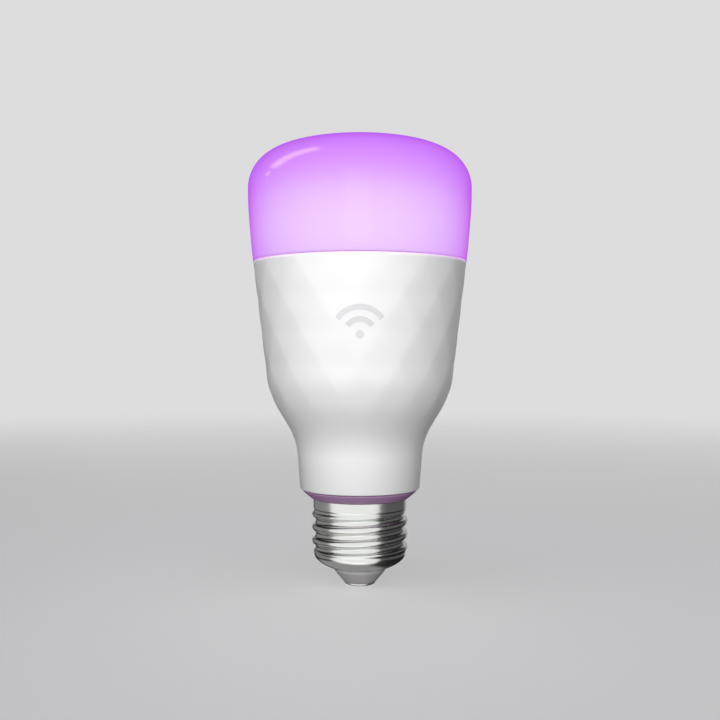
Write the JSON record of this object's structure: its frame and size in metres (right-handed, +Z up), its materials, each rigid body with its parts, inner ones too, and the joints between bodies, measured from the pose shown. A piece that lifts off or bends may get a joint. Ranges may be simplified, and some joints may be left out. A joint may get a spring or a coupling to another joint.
{
  "type": "smart light bulb",
  "caption": "Dimmable colour smart light bulb with an opal dome cover, a white tapered housing and an Edison screw base, complete with its LED engine, driver and radio.",
  "frame": {"origin": "middle of the centre contact's face, where the lampholder's spring touches", "axes": "+Z up the lamp's axis from the screw base to the top of the dome, -Y towards the printed symbol on the housing, +X to the right of it"},
  "size_m": [0.061, 0.061, 0.12],
  "materials": {
    "opal_cover": "satin opal polycarbonate, lit purple from inside",
    "white_housing": "smooth satin white, with very shallow facets",
    "collar_plastic": "satin mauve-grey",
    "printed_symbol": "flat light grey pad print",
    "nickel_plate": "bright nickel plate on rolled sheet",
    "insulator_plastic": "smooth grey insulating moulding",
    "silicone": "soft white silicone bead",
    "spun_aluminium": "spun, with fine turning lines",
    "thermal_pad": "soft blue-grey filled silicone",
    "white_circuit_board": "white solder mask on aluminium",
    "led_warm": "orange-yellow phosphor in a white case",
    "led_cool": "pale yellow phosphor in a white case",
    "led_red": "clear red gel in a white case",
    "led_green": "clear green gel in a white case",
    "led_blue": "clear blue gel in a white case",
    "zinc_steel": "zinc-plated",
    "sleeve_plastic": "natural flame-retardant moulding",
    "green_circuit_board": "green solder mask on glass fibre",
    "black_plastic": "black moulding",
    "capacitor_sleeve": "dark shrink sleeve on an aluminium can",
    "ferrite": "pressed and sintered, dark grey",
    "winding_tape": "yellow polyester tape",
    "copper": "enamelled copper",
    "film_yellow": "yellow potted case",
    "varistor_blue": "blue dipped epoxy",
    "gold_plate": "gold flash on copper",
    "fuse_ceramic": "off-white cement",
    "wire_red": "red wire insulation",
    "wire_white": "white wire insulation"
  },
  "bodies": {
    "root": {"diffuser": "opal_cover", "diffuser_seal": "silicone", "housing": "white_housing", "heat_sink_cup": "spun_aluminium", "mounting_plate": "spun_aluminium", "thermal_pad": "thermal_pad", "led_board": "white_circuit_board", "warm_white_led_1": "led_warm", "warm_white_led_2": "led_warm", "warm_white_led_3": "led_warm", "warm_white_led_4": "led_warm", "warm_white_led_5": "led_warm", "warm_white_led_6": "led_warm", "cool_white_led_1": "led_cool", "cool_white_led_2": "led_cool", "cool_white_led_3": "led_cool", "cool_white_led_4": "led_cool", "cool_white_led_5": "led_cool", "cool_white_led_6": "led_cool", "red_led_1": "led_red", "red_led_2": "led_red", "green_led_1": "led_green", "green_led_2": "led_green", "blue_led_1": "led_blue", "blue_led_2": "led_blue", "led_board_screw_1": "zinc_steel", "led_board_screw_2": "zinc_steel", "led_board_screw_3": "zinc_steel", "driver_sleeve": "sleeve_plastic", "driver_board": "green_circuit_board", "led_header": "black_plastic", "input_capacitor": "capacitor_sleeve", "output_capacitor": "capacitor_sleeve", "choke_core": "ferrite", "choke_winding": "copper", "film_capacitor": "film_yellow", "varistor": "varistor_blue", "bridge_rectifier": "black_plastic", "driver_chip": "black_plastic", "output_diode": "black_plastic", "transformer_core_lower": "ferrite", "transformer_core_upper": "ferrite", "transformer_bobbin": "black_plastic", "transformer_winding": "winding_tape", "wifi_board": "green_circuit_board", "wifi_shield": "zinc_steel", "wifi_antenna": "gold_plate", "wifi_header": "black_plastic", "base_collar": "collar_plastic", "screw_shell": "nickel_plate", "base_insulator": "insulator_plastic", "centre_contact": "nickel_plate", "fuse_resistor": "fuse_ceramic", "fuse_lead": "zinc_steel", "live_wire": "wire_red", "neutral_wire": "wire_white", "neutral_tail": "copper"}
  },
  "joints": []
}
